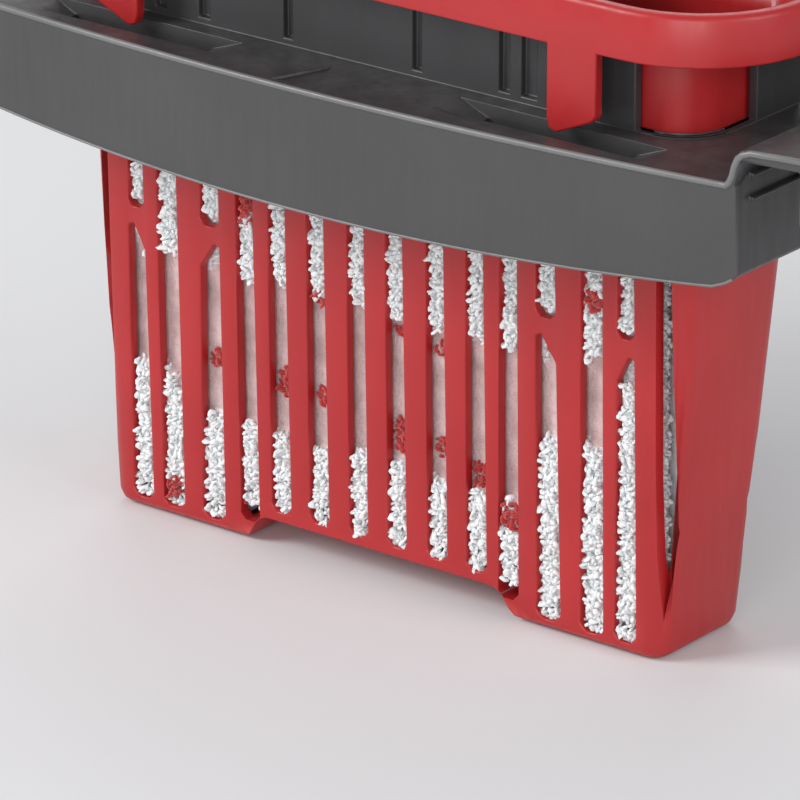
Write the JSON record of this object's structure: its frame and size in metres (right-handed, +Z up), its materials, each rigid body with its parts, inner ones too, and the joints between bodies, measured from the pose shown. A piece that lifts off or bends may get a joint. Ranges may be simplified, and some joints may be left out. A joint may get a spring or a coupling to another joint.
{
  "type": "flat mop press wringer",
  "caption": "Press wringer for a flat-mop bucket: grey rim-mounted tray, red slotted basket with a funnel rim, and the folded microfibre mop head pushed into it.",
  "frame": {"origin": "on the flat underside of the frame's back flange, at its middle, where it rests on the bucket's rim", "axes": "+Z up, +X to the right seen from the bowed front, +Y to the back, -Z into the bucket"},
  "size_m": [0.252, 0.117, 0.251],
  "materials": {
    "frame_grey": "fine matte moulded polypropylene",
    "basket_red": "satin moulded polypropylene",
    "microfibre": "looped microfibre pile",
    "mop_black": "matte moulded plastic",
    "pedal_red": "satin moulded plastic",
    "pin_steel": "drawn steel rod"
  },
  "bodies": {
    "wringer": {"wringer_frame": "frame_grey", "press_basket": "basket_red"},
    "mop": {"mop_hub": "mop_black", "hinge_pin_front": "pin_steel", "hinge_pin_back": "pin_steel", "swivel_pin_lower": "pin_steel", "pedal_pin": "pin_steel"},
    "plate_front": {"mop_plate_front": "mop_black", "mop_pad_front": "microfibre"},
    "plate_back": {"mop_plate_back": "mop_black", "mop_pad_back": "microfibre"},
    "pedal": {"foot_pedal": "pedal_red"},
    "swivel": {"swivel_link": "pedal_red", "swivel_pin_upper": "pin_steel"},
    "socket": {"pole_socket": "mop_black"}
  },
  "joints": [
    {"name": "mop_lift", "type": "slide", "parent": "wringer", "child": "mop", "axis": [0, 0, 1], "range_m": [0, 0.2]},
    {"name": "front_squeeze", "type": "hinge", "parent": "mop", "child": "plate_front", "pos_m": [0, -0.0685, 0.0184], "axis": [1, 0, 0], "range_deg": [0, 1.5], "stiffness_Nm_per_rad": 2},
    {"name": "back_squeeze", "type": "hinge", "parent": "mop", "child": "plate_back", "pos_m": [0, -0.0455, 0.0184], "axis": [1, 0, 0], "range_deg": [-1.5, 0], "stiffness_Nm_per_rad": 2},
    {"name": "pedal_press", "type": "hinge", "parent": "mop", "child": "pedal", "pos_m": [0, -0.071, 0.0329], "axis": [1, 0, 0], "range_deg": [0, 10], "stiffness_Nm_per_rad": 0.3, "springref_deg": -5.73},
    {"name": "swivel_tilt", "type": "hinge", "parent": "mop", "child": "swivel", "pos_m": [0, -0.057, 0.0404], "axis": [1, 0, 0], "range_deg": [-30, 30]},
    {"name": "socket_swing", "type": "hinge", "parent": "swivel", "child": "socket", "pos_m": [0, -0.057, 0.0544], "axis": [0, 1, 0], "range_deg": [-60, 60]}
  ]
}
